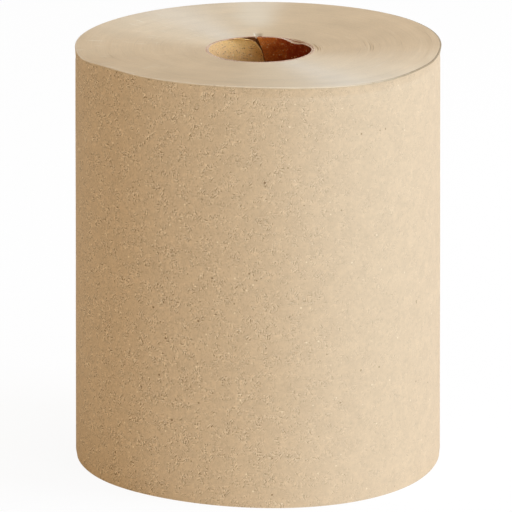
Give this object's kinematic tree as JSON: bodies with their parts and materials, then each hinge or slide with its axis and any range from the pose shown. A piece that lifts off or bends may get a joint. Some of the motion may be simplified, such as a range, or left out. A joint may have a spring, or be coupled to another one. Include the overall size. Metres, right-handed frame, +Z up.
{
  "type": "paper towel roll",
  "caption": "Hardwound kraft paper towel roll standing on end: one long sheet wound tight on a spiral-wound cardboard core with an open bore.",
  "frame": {"origin": "on the core's axis at the bottom face, where the roll stands", "axes": "+Z up the core's axis; -Y is the front; the tail of the last wrap is at the back, 70 degrees from +X"},
  "size_m": [0.1744, 0.1743, 0.2032],
  "materials": {
    "kraft_tissue": "matt unbleached crepe",
    "core_board": "matt raw board"
  },
  "bodies": {
    "root": {"wound_paper": "kraft_tissue", "core_tube": "core_board"}
  },
  "joints": []
}
